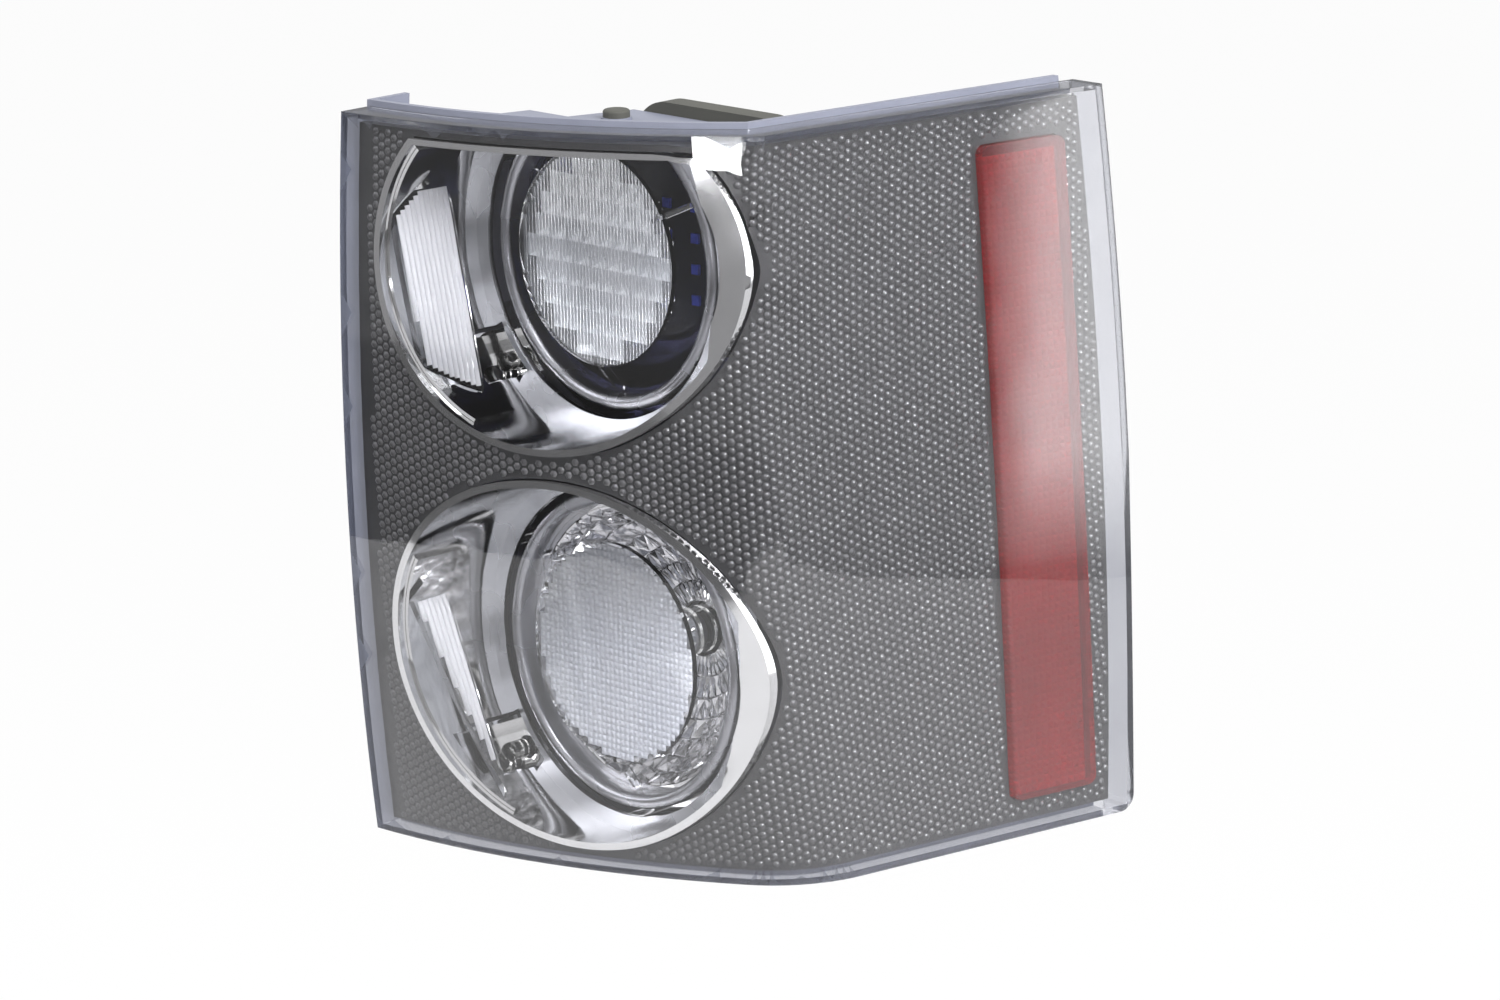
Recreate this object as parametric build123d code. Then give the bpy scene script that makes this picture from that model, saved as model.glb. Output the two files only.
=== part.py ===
from build123d import *
from math import asin, atan2, cos, radians, sin, sqrt
import os

# Right-hand tail light cluster: X outboard, Y forward into the car, Z up, millimetres.
# A triple gives a size at the bottom, middle and top of the lens.

# Lens surface, seen in plan
lens_height = 390.0
inboard_x = (-241.0, -226.7, -221.7)
inboard_y = (25.7, 0.0, 0.8)
rear_start_heading = (0.9, 1.3, 1.8)
rear_end_heading = (30.5, 36.4, 42.3)
corner_radius = (68.5, 39.8, 11.1)
side_heading = 81.7
side_x = (7.6, 0.0, -7.7)
front_y = (316.8, 316.0, 305.3)
least_corner = 2.0

# Outer lens
lens_wall = 3.0
lens_skirt = 20.0
lens_corner = 9.0
joint_gap = 0.2

# Inner panel
panel_depth = 9.0
panel_wall = 2.5
panel_edge_gap = 2.5
panel_front_gap = 10.0
panel_top_gap = 3.0

# Round lamps: axis, hole in the panel, plane of the bezel's web, crest of the bead ring
upper_x = -107.0
upper_z = 123.4
upper_radius = 95.6
upper_web = 70.5
upper_bead = 73.5
lower_x = -108.2
lower_z = -84.6
lower_radius = 100.3
lower_web = 79.5
lower_bead = 79.8

# Bezels
bezel_gap = 0.5
bezel_wall = 3.8
bezel_depth = 5.0
web_wall = 3.0
web_width = 8.6
bezel_roof = 185.0
pillar_radius = 3.8
pillar_angles = (150.0, 270.0, 332.0)

# Bead rings and reflectors
bead_gap = 3.5
bead_width = 7.6
bead_body = 8.0
bead_depth = 5.5
bowl_wall = 2.0
bowl_step = 2.6
bowl_flange = 19.0
upper_bowl_depth = 26.0
upper_bowl_floor = 48.0
lower_bowl_depth = 48.0
lower_bowl_hole = 14.5

# Inner lenses
upper_disc = (-104.5, 124.8, 55.7, 65.0)
lower_disc = (-106.0, -84.0, 58.4, 73.0)
disc_wall = 3.0
arm_wall = 2.4
arm_angles = (30.0, 150.0, 270.0)

# Crescent reflectors, angles from outboard over the top, and the lenses before them
liner_wall = 1.8
liner_depth = 10.0
liner_back = 46.0
upper_liner = (142.0, 244.0)
lower_liner = (150.0, 244.0)
pocket_angles = (211.0, 229.0)
pocket_reach = 22.0
pocket_back = 92.0
pocket_depth = 14.0
crescent_wall = 3.0
crescent_corner = 9.0
upper_crescent_edge = ((-184.0, 39.0, 156.0), (-160.0, 39.0, 46.0))
lower_crescent_edge = ((-190.0, 35.0, -58.0), (-152.0, 41.0, -165.0))
crescent_lean = (-15.0, -31.0, 0.0)

# Housing
housing_wall = 2.5
lip_wall = 3.5
lip_overhang = 3.0
lip_front_gap = 9.0
tray_gap = 6.0
tray_plan = (
    (-214.5, -70.0),
    (70.0, -70.0),
    (70.0, 293.0),
    (-6.0, 293.0),
    (-31.0, 120.0),
    (-75.0, 88.0),
    (-214.5, 60.0),
)
roof_gap = 7.0
roof_slope = 0.068
roof_slope_start = 72.0
barrel_gap = 4.5
upper_barrel_back = 97.0
lower_barrel_back = 105.0
rear_barrel_gap = (9.0, 8.3)
rear_barrel_back = (122.0, 134.0)
box_sides = (-158.0, -42.0, -165.0, 200.0)
box_corner = 22.0
box_back = 145.0
side_blocks = ((-213.0, -30.0, -34.0, 88.0), (-223.0, -120.0, -184.0, -84.0))
block_corner = 12.0
block_back = 106.0
boss_back = 157.0
flange_reach = 46.0
flange_wall = 3.5

# Body seal
seal_sides = (-158.0, -42.0, -168.0, 189.5)
seal_width = 14.0
seal_back = 160.0
seal_corner = 24.0

# Diode board and heat sink
board_radius = 46.0
board_wall = 1.6
diode_size = 5.0
diode_height = 1.6
diode_pitch = (20.0, 16.0)
diode_count = (4, 6)
sink_radius = 36.0
sink_base = 3.0
sink_depth = 24.0
fin_wall = 2.0
fin_pitch = 8.0

# Bulbs: glass radius and length, metal cap, holder and its seal
main_bulb = (12.5, 36.0)
small_bulb = (5.0, 20.0)
cap_ratio = 0.66
cap_length = 13.0
holder_clearance = 3.0
holder_inside = 10.0
holder_rim = 4.0
holder_rim_wall = 4.0
holder_grip = (4.0, 7.0)
holder_seal_wall = 2.0
pocket_bulb_angle = 220.0
pocket_bulb_reach = 8.5

# Side reflector, corners in Y and Z
reflector_corners = ((229.0, 171.0), (283.0, 171.0), (295.0, -177.0), (241.0, -177.0))
reflector_depth = 5.0
reflector_wall = 6.3
reflector_corner = 5.0
reflector_gap = 0.6
reflector_tray_wall = 2.0
reflector_tray_lap = 3.5

# Studs and locating pegs
stud_x = (-130.0, -70.0)
stud_z = (158.0, -136.0)
stud_radius = 3.0
stud_length = 22.0
stud_head = (6.0, 2.0)
stud_collar = 4.0
peg_z = (100.0, -100.0)
peg_x = -2.5
peg_y = (299.0, 305.0)
peg_root = 291.0
peg_radius = 4.0
peg_length = 12.0
peg_boss = 7.5

# Connector, vents, buffer, screws
socket_spot = (-92.0, 20.0)
socket_size = (34.0, 22.0)
socket_height = 17.0
socket_wall = 2.0
pin_count = (4, 2)
pin_size = 1.2
pin_pitch = 6.0
pin_length = 11.0
vent_radius = 7.0
vent_height = 5.0
vent_spots = ((-100.0, 120.0), (-100.0, -130.0))
buffer_spot = (-136.0, 112.0)
buffer_radius = 7.0
buffer_height = 4.0
buffer_sink = 1.5
screw_head = (3.6, 2.4)
screw_radius = 1.5
screw_length = 9.0

half_height = lens_height / 2
roof_height = half_height - roof_gap
buffer_seat = roof_height - buffer_sink


def at_height(z, sizes):
    """A size at height z, from its value at the bottom, middle and top"""
    low, middle, high = sizes
    share = z / half_height
    return middle + (high - low) / 2 * share + ((high + low) / 2 - middle) * share**2


def on_arc(centre, radius, heading):
    """Point of a plan arc where the surface runs at this heading"""
    return centre + Vector(sin(heading), -cos(heading)) * radius


def plan_section(z, depth, inboard, front):
    """Plan face at height z, bounded by the lens surface moved inwards by depth"""
    b0 = radians(at_height(z, rear_start_heading))
    b1 = radians(at_height(z, rear_end_heading))
    b2 = radians(side_heading)
    x0 = at_height(z, inboard_x)
    y0 = at_height(z, inboard_y)
    corner = at_height(z, corner_radius)
    rear = (at_height(z, side_x) - x0 - corner * (sin(b2) - sin(b1))) / (sin(b1) - sin(b0))
    rear_centre = Vector(x0 - rear * sin(b0), y0 + rear * cos(b0))
    side_start = on_arc(on_arc(rear_centre, rear - corner, b1), corner, b2)
    # A deep section keeps a small corner, tangent to the rear arc and the side line
    reach = max(corner, depth + least_corner)
    along = Vector(cos(b2), sin(b2))
    inwards = Vector(-sin(b2), cos(b2))
    gap = side_start + inwards * reach - rear_centre
    run = -gap.dot(along)
    spread = sqrt(run**2 - gap.dot(gap) + (rear - reach) ** 2)
    corner_centre = rear_centre + gap + along * min(run - spread, run + spread, key=abs)
    turned_by = corner_centre - rear_centre
    b1 = atan2(turned_by.X, -turned_by.Y)
    b0 = asin((x0 + inboard - rear_centre.X) / (rear - depth))
    start = on_arc(rear_centre, rear - depth, b0)
    rear_middle = on_arc(rear_centre, rear - depth, (b0 + b1) / 2)
    knee = on_arc(rear_centre, rear - depth, b1)
    corner_middle = on_arc(corner_centre, reach - depth, (b1 + b2) / 2)
    turn = on_arc(corner_centre, reach - depth, b2)
    end_y = at_height(z, front_y) - front
    end = turn + along * ((end_y - turn.Y) / along.Y)
    far = Vector(x0 + inboard, end_y)
    outline = Wire(
        [
            Edge.make_three_point_arc(start, rear_middle, knee),
            Edge.make_three_point_arc(knee, corner_middle, turn),
            Edge.make_line(turn, end),
            Edge.make_line(end, far),
            Edge.make_line(far, start),
        ]
    )
    return Pos(0, 0, z) * Face(outline)


def behind(depth, inboard=-20.0, front=-20.0, half=half_height + 20):
    """Everything deeper than depth behind the lens surface"""
    return loft([plan_section(z, depth, inboard, front) for z in (-half, 0.0, half)])


def skin(depth, wall, skirt_end, inset, front, half):
    """Open-backed shell along the lens surface, with a skirt all round"""
    shell = behind(depth, inset, front, half)
    shell -= behind(depth + wall, inset + wall, front + wall, half - wall)
    return shell - behind(skirt_end)


def along_y(profile, start, end):
    """Solid of a profile in X and Z, from one Y to another"""
    return extrude(Plane.XZ.offset(-start) * profile, amount=start - end)


def along_x(profile, start, end):
    """Solid of a profile in Y and Z, from one X to another"""
    return extrude(Plane.YZ.offset(start) * profile, amount=end - start)


def disc(x, z, radius, start, end):
    """Round rod with its axis along Y"""
    return along_y(Pos(x, z) * Circle(radius), start, end)


def ring(x, z, outer, inner, start, end):
    """Round ring with its axis along Y"""
    return along_y(Pos(x, z) * (Circle(outer) - Circle(inner)), start, end)


def sector(x, z, outer, inner, angles, start, end):
    """Part of a ring between two angles, measured from outboard over the top"""
    steps = [radians(angles[0] + (angles[1] - angles[0]) * k / 4) for k in range(5)]
    rays = [(2 * outer * cos(a), 2 * outer * sin(a)) for a in steps]
    wedge = make_face(Polyline((0, 0), *rays, close=True))
    return along_y(Pos(x, z) * ((Circle(outer) - Circle(inner)) & wedge), start, end)


def turned(profile, x, z):
    """Body of revolution about an axis along Y; the profile is drawn in X and Y"""
    return Pos(x, 0, z) * revolve(profile, Axis.Y)


def rounded(sides, corner, inset=0.0):
    """Rounded rectangle in X and Z, made smaller by an inset"""
    left, right, bottom, top = sides
    shape = RectangleRounded(right - left - 2 * inset, top - bottom - 2 * inset, corner - inset)
    return Pos((left + right) / 2, (top + bottom) / 2) * shape


def below(height):
    """Everything lower than a height"""
    return Pos(0, 100, height - 500) * Box(1200, 1200, 1000)


def round_front(shape):
    """Rounds the two corners of a shell at its front edge"""
    top = (at_height(half_height, front_y), half_height)
    middle = (at_height(0, front_y), 0)
    bottom = (at_height(-half_height, front_y), -half_height)
    face = make_face(Polyline((-300, half_height), top, middle, bottom, (-300, -half_height), close=True))
    corners = [v for v in face.vertices() if v.X > 0 and abs(v.Y) > 1]
    return shape & along_x(fillet(corners, lens_corner), -400, 200)


def outer_lens():
    return round_front(skin(0.0, lens_wall, lens_skirt, 0.0, 0.0, half_height))


def reflector_prism(growth):
    """Outline of the side reflector, carried through from side to side"""
    outline = make_face(Polyline(*reflector_corners, close=True))
    outline = fillet(outline.vertices(), reflector_corner)
    if growth:
        outline = offset(outline, growth)
    return along_x(outline, -60, 80)


def inner_panel():
    inset = lens_wall + panel_edge_gap
    half = half_height - lens_wall - panel_top_gap
    shape = skin(panel_depth, panel_wall, lens_skirt, inset, panel_front_gap, half)
    for lamp in (upper, lower):
        hole = disc(lamp["x"], lamp["z"], lamp["radius"], -60, 160)
        shape -= hole & below(bezel_roof + bezel_gap)
    return shape - reflector_prism(reflector_gap)


def side_reflector():
    block = behind(reflector_depth) - behind(reflector_depth + reflector_wall)
    return block & reflector_prism(0)


def reflector_tray():
    start = panel_depth + panel_wall + joint_gap
    block = behind(start) - behind(start + reflector_tray_wall)
    return block & reflector_prism(reflector_tray_lap)


def spokes(lamp, reach, radius, start, end):
    """Round rods along Y at the fixing angles about a lamp's axis"""
    rods = []
    for angle in pillar_angles:
        x = lamp["x"] + reach * cos(radians(angle))
        z = lamp["z"] + reach * sin(radians(angle))
        rods.append(disc(x, z, radius, start, end))
    return rods


def bezel(lamp):
    x = lamp["x"]
    z = lamp["z"]
    outer = lamp["radius"] - bezel_gap
    inner = outer - bezel_wall
    web = lamp["web"]
    flange = lamp["flange"]
    shape = disc(x, z, outer, -60, 160) & below(bezel_roof) & behind(bezel_depth)
    shape -= disc(x, z, inner, -80, web) & below(bezel_roof - web_wall)
    shape -= disc(x, z, inner - web_width, -80, 200) & below(bezel_roof - web_wall)
    shape -= along_y(Rectangle(900, 900), web + web_wall, 400) & behind(bezel_depth + web_wall)
    window = sector(x, z, outer + 5, inner - 5, lamp["pocket"], -60, pocket_back)
    shape -= window & behind(pocket_depth - 1)
    for rod in spokes(lamp, lamp["fixing"], pillar_radius, web + 1, flange - joint_gap):
        shape += rod & behind(bezel_depth + 1)
    for rod in spokes(lamp, lamp["fixing"], screw_radius + 0.1, flange - screw_length, flange + 9):
        shape -= rod
    return shape


def bead_ring(lamp):
    crown = bead_width / 2
    middle = lamp["bead_outer"] - crown
    crest = lamp["bead"]
    profile = Pos(middle, crest + crown) * Circle(crown)
    profile += Pos(middle, crest + crown + bead_body / 2) * Rectangle(bead_width, bead_body)
    shape = turned(profile, lamp["x"], lamp["z"]) & behind(bead_depth)
    return shape & below(bezel_roof - web_wall - 2 * joint_gap)


def reflector_profile(lamp):
    """Half section of a bowl with its flange, right of the axis"""
    face = lamp["flange"]
    mouth = lamp["mouth"]
    hole = lamp["bowl_hole"]
    end = lamp["bowl_end"]
    back = face + lamp["bowl_depth"]
    outer = mouth + bowl_wall + 0.5
    swell = (mouth + end) / 2 + 0.16 * (mouth - end) + 2.0
    middle = face + 0.62 * lamp["bowl_depth"]
    rim = mouth + bowl_flange
    path = [
        ThreePointArc((mouth, face), (swell, middle), (end, back)),
        ThreePointArc((end, back + bowl_wall), (swell + bowl_wall, middle + 1), (outer, face + bowl_wall)),
        Line((outer, face + bowl_wall), (rim, face + bowl_wall)),
        Line((rim, face + bowl_wall), (rim, face)),
        Line((rim, face), (mouth, face)),
    ]
    if hole < end:
        path.append(Line((end, back), (hole, back)))
        path.append(Line((hole, back + bowl_wall), (end, back + bowl_wall)))
    path.append(Line((hole, back), (hole, back + bowl_wall)))
    return make_face(path)


def reflector(lamp):
    shape = turned(reflector_profile(lamp), lamp["x"], lamp["z"])
    shape &= below(bezel_roof - web_wall)
    for rod in spokes(lamp, lamp["fixing"], screw_radius + 0.3, 40, 140):
        shape -= rod
    return shape


def reflector_screws():
    screws = []
    for lamp in (upper, lower):
        back = lamp["flange"] + bowl_wall
        shanks = spokes(lamp, lamp["fixing"], screw_radius, back - screw_length, back + 1)
        heads = spokes(lamp, lamp["fixing"], screw_head[0], back, back + screw_head[1])
        screws += [shank + head for shank, head in zip(shanks, heads)]
    return Compound(screws)


def inner_lens(lamp):
    x, z, radius, face = lamp["disc"]
    shape = disc(x, z, radius, face, face + disc_wall)
    foot = lamp["flange"] - joint_gap
    reach = lamp["mouth"] + bowl_step - 1.2
    profile = Polyline(
        (radius - 6, face + 1),
        (radius - 3, face + 1),
        (reach, foot - 4),
        (reach, foot),
        (reach - 1.6, foot),
        (radius - 6, face + disc_wall + 1),
        close=True,
    )
    arm = extrude(make_face(profile), amount=arm_wall / 2, both=True)
    for angle in arm_angles:
        shape += Pos(lamp["x"], 0, lamp["z"]) * Rot(0, -angle, 0) * arm
    return shape


def crescent_reflector(lamp):
    x = lamp["x"]
    z = lamp["z"]
    outer = lamp["radius"] - bezel_gap - bezel_wall - joint_gap
    inner = outer - liner_wall
    start, end = pocket_angles
    liner = sector(x, z, outer, inner, lamp["liner"], -60, liner_back) & behind(liner_depth)
    box = sector(x, z, outer + pocket_reach, inner, pocket_angles, -60, pocket_back)
    reach = outer + pocket_reach - liner_wall
    hollow = sector(x, z, reach, inner - 5, (start + 1.2, end - 1.2), -60, pocket_back - liner_wall)
    opening = sector(x, z, outer + bezel_wall + 1, inner - 5, (start - 5, end + 5), liner_back - 2, 100)
    shape = liner + (box & behind(pocket_depth)) - (hollow & behind(pocket_depth + liner_wall))
    shape -= opening
    bulb_x, bulb_z = lamp["small_bulb"]
    shape -= disc(bulb_x, bulb_z, small_bulb[0] + 1.2, pocket_back - 4, pocket_back + 4)
    return shape & below(bezel_roof - web_wall - joint_gap)


def crescent_lens(lamp):
    first, last = (Vector(*point) for point in lamp["crescent_edge"])
    lean = Vector(*crescent_lean).normalized()
    along = (last - first).normalized()
    length = (last - first).length
    plate = Plane(origin=(first + last) / 2, x_dir=along, z_dir=along.cross(lean))
    outline = Pos(0, 40) * Rectangle(length, 80)
    near = outline.vertices().sort_by(Axis.Y)[:2]
    outline = fillet(near, crescent_corner)
    shape = extrude(plate * outline, amount=crescent_wall / 2, both=True)
    inner = lamp["radius"] - bezel_gap - bezel_wall - liner_wall - 3 * joint_gap
    shape &= disc(lamp["x"], lamp["z"], inner, -80, 200)
    return shape & behind(liner_depth)


def roof_profile(clearance):
    """Side view of the room between the housing's top and bottom walls"""
    top = roof_height - clearance
    back = roof_slope_start + 200
    drop = roof_slope * 200
    upper_line = [(-80.0, top), (roof_slope_start, top), (back, top - drop)]
    lower_line = [(back, -roof_height + clearance), (-80.0, -roof_height + clearance)]
    return make_face(Polyline(*upper_line, *lower_line, close=True))


def rooms(clearance):
    """Everything the housing encloses, or its hollow when the clearance is its wall"""
    c = clearance
    shape = along_y(rounded(box_sides, box_corner, c), 0, box_back - c)
    for lamp in (upper, lower):
        x = lamp["x"]
        z = lamp["z"]
        shape += disc(x, z, lamp["radius"] + barrel_gap - c, -70, lamp["barrel_back"] - c)
        shape += disc(x, z, lamp["rear_barrel"] - c, 0, lamp["rear_back"] - c)
    for sides in side_blocks:
        shape += along_y(rounded(sides, block_corner, c), -60, block_back - c)
    shape &= along_x(roof_profile(c), -400, 60)
    plan = make_face(Polyline(*tray_plan, close=True))
    if c:
        plan = offset(plan, -c, kind=Kind.INTERSECTION)
    shape += extrude(plan, amount=half_height - tray_gap - c, both=True)
    outline = rounded(seal_sides, seal_corner, seal_width + joint_gap + c)
    return shape + along_y(outline, 60, boss_back - c)


def housing():
    half = half_height + lip_overhang
    start = lens_skirt + joint_gap
    shape = behind(start, -lip_overhang, lip_front_gap, half) - behind(start + lip_wall)
    shape += rooms(0) & behind(start, -30, -30)
    shape += buffer_pad()
    shape -= rooms(housing_wall) & behind(start - 10, -30, -30)
    flange = behind(start, -lip_overhang, lip_front_gap, half)
    flange -= behind(start - 1, flange_wall - lip_overhang, -5, half + 5)
    shape += flange - behind(flange_reach)
    for z, y in zip(peg_z, peg_y):
        shape += disc(peg_x, z, peg_boss, peg_root, y)
        shape += disc(peg_x, z, peg_radius, y - 1, y + peg_length)
    for x, z, radius, seat in bulb_seats:
        shape -= disc(x, z, radius + holder_clearance, seat - 3 * housing_wall, seat + 20)
    for x, z in stud_spots:
        shape -= disc(x, z, stud_collar + 0.05, boss_back - 10, boss_back + 10)
    for x, z in vent_spots:
        shape -= disc(x, z, vent_radius / 2, boss_back - 10, boss_back + 10)
    x, z = socket_spot
    opening = Rectangle(socket_size[0] - 2 * socket_wall, socket_size[1] - 2 * socket_wall)
    return shape - along_y(Pos(x, z) * opening, boss_back - 10, boss_back + 10)


def buffer_pad():
    x, y = buffer_spot
    return Pos(x, y, buffer_seat - 3) * Cylinder(buffer_radius + 1, 6)


def top_buffer():
    x, y = buffer_spot
    body = Cylinder(buffer_radius, buffer_height, align=(Align.CENTER, Align.CENTER, Align.MIN))
    body = fillet(body.edges().sort_by(Axis.Z)[-1], 1.5)
    return Pos(x, y, buffer_seat) * body


def body_seal():
    outline = rounded(seal_sides, seal_corner) - rounded(seal_sides, seal_corner, seal_width)
    shape = along_y(outline, box_back, seal_back)
    rim = shape.edges().filter_by_position(Axis.Y, seal_back - 0.1, seal_back + 0.1)
    return fillet(rim, 2.0)


def bulb_glass(x, z, size, seat):
    radius, length = size
    base = seat - cap_length
    top = base - length
    shape = disc(x, z, radius * cap_ratio, base - 6, base)
    shape += disc(x, z, radius, top + radius, base - 6)
    return shape + Pos(x, top + radius, z) * Sphere(radius)


def bulb_cap(x, z, size, seat):
    radius = size[0] * cap_ratio
    cap = disc(x, z, radius, seat - cap_length, seat - 1)
    return cap + disc(x, z, radius * 0.5, seat - 1, seat)


def bulb_holder(x, z, size, seat):
    radius = size[0] + holder_clearance
    bore = size[0] * cap_ratio + 0.15
    rim = seat + holder_seal_wall
    back = rim + holder_rim_wall
    shape = disc(x, z, radius - 1, seat - holder_inside, rim)
    shape += disc(x, z, radius + holder_rim, rim, back)
    grip = Rectangle(2 * radius, holder_grip[0])
    shape += along_y(Pos(x, z) * grip, back, back + holder_grip[1])
    return shape - disc(x, z, bore, seat - 20, seat + 0.3)


def holder_seal(x, z, size, seat):
    radius = size[0] + holder_clearance
    return ring(x, z, radius + holder_rim - 0.5, radius - 0.8, seat, seat + holder_seal_wall)


def led_board():
    floor = upper["flange"] + upper["bowl_depth"]
    return disc(upper["x"], upper["z"], board_radius, floor - board_wall, floor)


def leds():
    face = upper["flange"] + upper["bowl_depth"] - board_wall
    body = Rectangle(diode_size, diode_size)
    diodes = []
    for spot in GridLocations(*diode_pitch, *diode_count):
        if spot.position.length < board_radius - diode_size:
            place = Pos(upper["x"], upper["z"]) * spot
            diodes.append(along_y(place * body, face - diode_height, face))
    return Compound(diodes)


def heat_sink():
    start = upper["flange"] + upper["bowl_depth"] + bowl_wall
    shape = disc(upper["x"], upper["z"], sink_radius, start, start + sink_base)
    count = int(2 * sink_radius / fin_pitch)
    for k in range(count):
        aside = (k - (count - 1) / 2) * fin_pitch
        reach = sqrt(sink_radius**2 - (abs(aside) + fin_wall / 2) ** 2)
        fin = Pos(upper["x"] + aside, upper["z"]) * Rectangle(fin_wall, 2 * reach)
        shape += along_y(fin, start + sink_base, start + sink_depth)
    return shape


def mounting_studs():
    radius, wall = stud_head
    face = boss_back - housing_wall
    studs = []
    for x, z in stud_spots:
        stud = disc(x, z, stud_radius, face, boss_back + stud_length)
        stud = chamfer(stud.edges().sort_by(Axis.Y)[-1], 0.8)
        stud += disc(x, z, stud_collar, face, boss_back)
        studs.append(stud + disc(x, z, radius, face - wall, face))
    return Compound(studs)


def connector_socket():
    x, z = socket_spot
    width, height = socket_size
    inside = Rectangle(width - 2 * socket_wall, height - 2 * socket_wall)
    plug = Rectangle(width - 2 * socket_wall - 0.4, height - 2 * socket_wall - 0.4)
    wall = Rectangle(width, height) - inside
    shape = along_y(Pos(x, z) * wall, boss_back, boss_back + socket_height)
    shape += along_y(Pos(x, z) * plug, boss_back - housing_wall, boss_back + 1)
    shape += along_y(Pos(x, z) * Rectangle(width, height), boss_back, boss_back + 2)
    for hole in pin_shapes(pin_size + 0.1):
        shape -= along_y(hole, boss_back - 10, boss_back + 20)
    return shape


def connector_pins():
    start = boss_back - housing_wall - 4
    pins = [along_y(pin, start, boss_back + pin_length) for pin in pin_shapes(pin_size)]
    return Compound(pins)


def pin_shapes(size):
    """Sections of the connector's pins"""
    place = Pos(*socket_spot)
    return [place * spot * Rectangle(size, size) for spot in GridLocations(pin_pitch, pin_pitch, *pin_count)]


def vent_caps():
    caps = []
    for x, z in vent_spots:
        cap = disc(x, z, vent_radius, boss_back, boss_back + vent_height)
        cap = fillet(cap.edges().sort_by(Axis.Y)[-1], 1.0)
        caps.append(cap + disc(x, z, vent_radius / 2 - 0.1, boss_back - housing_wall, boss_back))
    return Compound(caps)


def lamp_sizes(x, z, radius, web, bead, rear_gap):
    """Sizes that follow from a lamp's hole, web plane and bead crest"""
    inner = radius - bezel_gap - bezel_wall
    bead_outer = inner - web_width - bead_gap
    mouth = bead_outer - bead_width - bowl_step
    reach = radius + pocket_bulb_reach
    angle = radians(pocket_bulb_angle)
    return {
        "x": x,
        "z": z,
        "radius": radius,
        "web": web,
        "bead": bead,
        "bead_outer": bead_outer,
        "mouth": mouth,
        "rear_barrel": mouth + rear_gap,
        "flange": bead + bead_width / 2 + bead_body + joint_gap,
        "fixing": inner - web_width / 2,
        "pocket": (pocket_angles[0] - 0.8, pocket_angles[1] + 0.8),
        "small_bulb": (x + reach * cos(angle), z + reach * sin(angle)),
    }


upper = lamp_sizes(upper_x, upper_z, upper_radius, upper_web, upper_bead, rear_barrel_gap[0]) | {
    "disc": upper_disc,
    "bowl_depth": upper_bowl_depth,
    "bowl_end": upper_bowl_floor,
    "bowl_hole": 6.0,
    "liner": upper_liner,
    "crescent_edge": upper_crescent_edge,
    "barrel_back": upper_barrel_back,
    "rear_back": rear_barrel_back[0],
}
lower = lamp_sizes(lower_x, lower_z, lower_radius, lower_web, lower_bead, rear_barrel_gap[1]) | {
    "disc": lower_disc,
    "bowl_depth": lower_bowl_depth,
    "bowl_end": lower_bowl_hole,
    "bowl_hole": lower_bowl_hole,
    "liner": lower_liner,
    "crescent_edge": lower_crescent_edge,
    "barrel_back": lower_barrel_back,
    "rear_back": rear_barrel_back[1],
}
stud_spots = [(x, z) for x in stud_x for z in stud_z]
bulb_seats = [
    (lower_x, lower_z, main_bulb[0], boss_back),
    (*upper["small_bulb"], small_bulb[0], block_back),
    (*lower["small_bulb"], small_bulb[0], block_back),
]

parts = {
    "outer_lens": outer_lens(),
    "inner_panel": inner_panel(),
    "side_reflector": side_reflector(),
    "reflector_tray": reflector_tray(),
    "housing": housing(),
    "body_seal": body_seal(),
    "top_buffer": top_buffer(),
    "led_board": led_board(),
    "leds": leds(),
    "heat_sink": heat_sink(),
    "reflector_screws": reflector_screws(),
    "mounting_studs": mounting_studs(),
    "connector_socket": connector_socket(),
    "connector_pins": connector_pins(),
    "vent_caps": vent_caps(),
}
for name, lamp in (("upper", upper), ("lower", lower)):
    parts[f"{name}_bezel"] = bezel(lamp)
    parts[f"{name}_bead_ring"] = bead_ring(lamp)
    parts[f"{name}_reflector"] = reflector(lamp)
    parts[f"{name}_inner_lens"] = inner_lens(lamp)
    parts[f"{name}_crescent_reflector"] = crescent_reflector(lamp)
    parts[f"{name}_crescent_lens"] = crescent_lens(lamp)
bulb_sizes = (main_bulb, small_bulb, small_bulb)
for name, size, (x, z, _, seat) in zip(("main", "upper_small", "lower_small"), bulb_sizes, bulb_seats):
    parts[f"{name}_bulb_glass"] = bulb_glass(x, z, size, seat)
    parts[f"{name}_bulb_cap"] = bulb_cap(x, z, size, seat)
    parts[f"{name}_bulb_holder"] = bulb_holder(x, z, size, seat)
    parts[f"{name}_holder_seal"] = holder_seal(x, z, size, seat)

# The frame's origin is the middle of the four studs, on the back of the housing
origin = Pos(-sum(stud_x) / 2, -boss_back, -sum(stud_z) / 2)
os.makedirs("parts", exist_ok=True)
for name, shape in parts.items():
    export_step(origin * shape, f"parts/{name}.step")
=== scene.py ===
from math import asin, atan2, cos, hypot, pi, radians, sin, sqrt

import bmesh
import bpy
from mathutils import Matrix, Vector


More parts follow.
